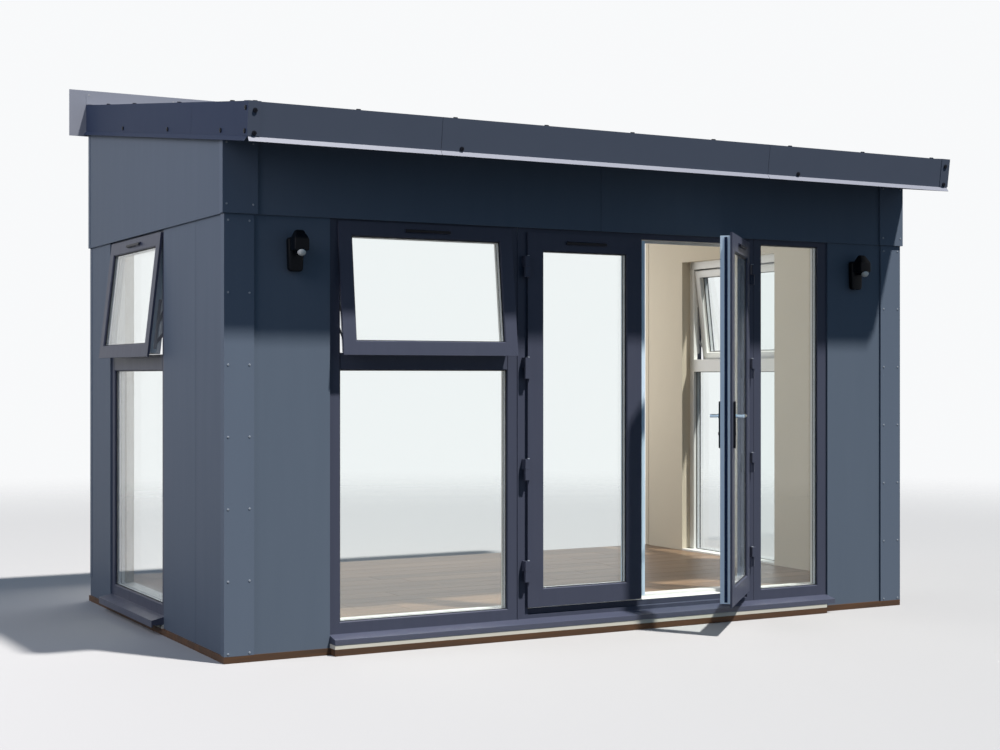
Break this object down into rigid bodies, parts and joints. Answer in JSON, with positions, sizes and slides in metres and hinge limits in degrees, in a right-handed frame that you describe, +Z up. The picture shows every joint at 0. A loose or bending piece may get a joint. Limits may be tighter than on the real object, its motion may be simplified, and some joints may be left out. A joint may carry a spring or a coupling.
{
  "type": "lean-to garden room",
  "caption": "Lean-to garden room of grey insulated panels with a roof falling to the front, top-hung windows, a sidelight and glazed double doors; open towards the house wall.",
  "frame": {"origin": "ground level, under the middle of the whole assembly's bounding box as it stands at rest, with the right door open", "axes": "+X to the right along the front wall as seen from outside, the longest way; +Y inwards, from the front wall to the house wall; +Z up"},
  "size_m": [4.65, 3.1668, 3.246],
  "materials": {
    "cladding": "smooth satin grey",
    "trim": "satin anthracite",
    "roof_sheet": "satin grey",
    "flashing": "dull lead grey",
    "frame": "anthracite foil outside, white inside",
    "sill": "satin grey",
    "glass": "clear",
    "lining": "matt cream",
    "timber": "stained sawn timber",
    "packer": "matt",
    "inner_board": "satin white",
    "floor_core": "sheet material",
    "floor_board": "satin oak boards",
    "handle_black": "satin black",
    "lever_chrome": "polished",
    "lock_metal": "dark satin",
    "light_body": "satin black"
  },
  "bodies": {
    "room": {"base_bearers": "timber", "sill_packers": "packer", "floor_deck": "floor_core", "floor_boards": "floor_board", "inner_boards": "inner_board", "front_left_panel": "cladding", "front_right_panel": "cladding", "front_header": "cladding", "left_wall_front_panel": "cladding", "left_wall_rear_panel": "cladding", "left_wall_upper_panel": "cladding", "right_wall_front_panel": "cladding", "right_wall_rear_panel": "cladding", "right_wall_upper_panel": "cladding", "left_corner_trim": "trim", "right_corner_trim": "trim", "left_end_channel": "trim", "right_end_channel": "trim", "left_wall_lining": "lining", "right_wall_lining": "lining", "front_wall_lining": "lining", "ceiling": "lining", "wall_plate": "timber", "roof_panels": "roof_sheet", "roof_seams": "roof_sheet", "front_fascia": "trim", "left_fascia": "trim", "right_fascia": "trim", "eaves_batten": "timber", "front_soffit": "trim", "abutment_flashing": "flashing", "front_window_frame": "frame", "left_window_frame": "frame", "right_window_frame": "frame", "front_window_sash": "frame", "left_window_sash": "frame", "right_window_sash": "frame", "front_window_glass": "glass", "left_window_glass": "glass", "right_window_glass": "glass", "front_sill": "sill", "left_sill": "sill", "right_sill": "sill", "door_frame": "frame", "sidelight_glass": "glass", "frame_hinges": "frame", "left_wall_light": "light_body", "right_wall_light": "light_body"},
    "left_door": {"left_leaf": "frame", "left_leaf_glass": "glass", "left_leaf_hinges": "frame"},
    "right_door": {"right_leaf": "frame", "right_leaf_glass": "glass", "right_leaf_hinges": "frame", "handle_backplates": "handle_black", "lock_faceplate": "lock_metal"},
    "levers": {"door_levers": "lever_chrome"}
  },
  "joints": [
    {"name": "left_door_hinge", "type": "hinge", "parent": "room", "child": "left_door", "pos_m": [-0.473, -1.04555, 1.1], "axis": [0, 0, -1], "range_deg": [0, 90]},
    {"name": "right_door_hinge", "type": "hinge", "parent": "room", "child": "right_door", "pos_m": [1.045, -1.04555, 1.1], "axis": [0, 0, 1], "range_deg": [-45.5, 44.5]},
    {"name": "lever_turn", "type": "hinge", "parent": "right_door", "child": "levers", "pos_m": [0.54861, -1.53356, 1.21], "axis": [-0.7133, 0.7009, 0], "range_deg": [0, 38], "stiffness_Nm_per_rad": 1.2}
  ]
}
